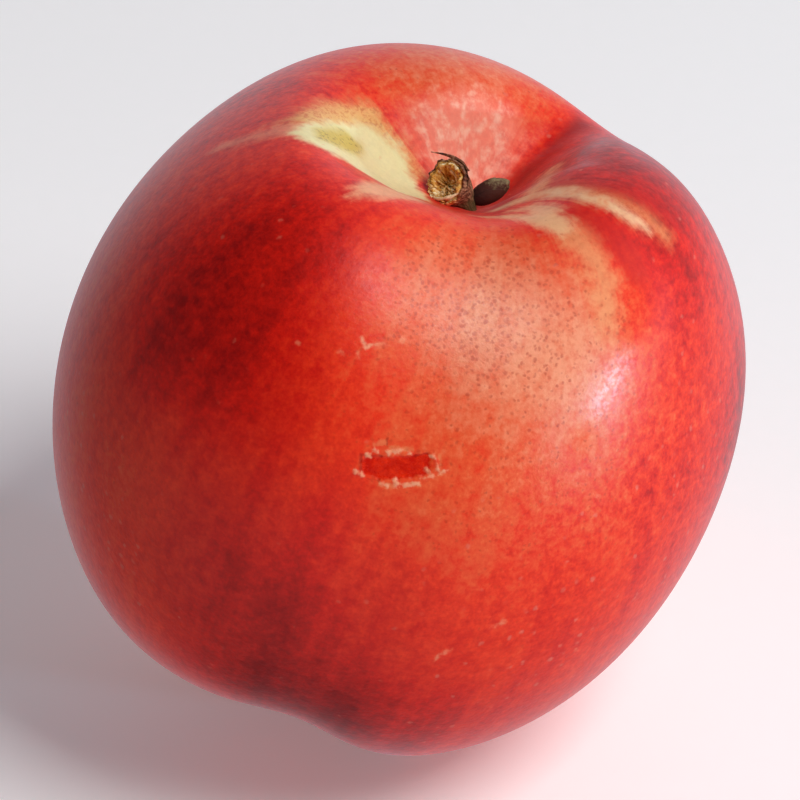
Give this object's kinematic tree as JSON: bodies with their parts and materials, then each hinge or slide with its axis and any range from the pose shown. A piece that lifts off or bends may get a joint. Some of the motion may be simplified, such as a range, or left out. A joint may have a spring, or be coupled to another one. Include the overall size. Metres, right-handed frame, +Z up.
{
  "type": "nectarine",
  "caption": "Whole ripe nectarine with a suture groove, a deep stem cavity and the torn twig stub with a bud left in it, leaning at rest on a small flat spot.",
  "frame": {"origin": "on the ground under the middle of the whole fruit's box", "axes": "+Z up as the fruit rests; the stem axis leans about 17 degrees from +Z towards +X and 4 degrees towards -Y; -Y is the front, with the front suture low on the left"},
  "size_m": [0.07, 0.0692, 0.072],
  "materials": {
    "skin": "thin waxy fruit skin, crimson and orange-red over yellow, softly glossy",
    "twig": "torn golden wood fibres in a rim of dark brown bark, matt",
    "bud": "overlapping bud scales, purple-brown at the foot and grey-olive at the tip, matt"
  },
  "bodies": {
    "root": {"fruit": "skin", "stem": "twig", "bud": "bud"}
  },
  "joints": []
}
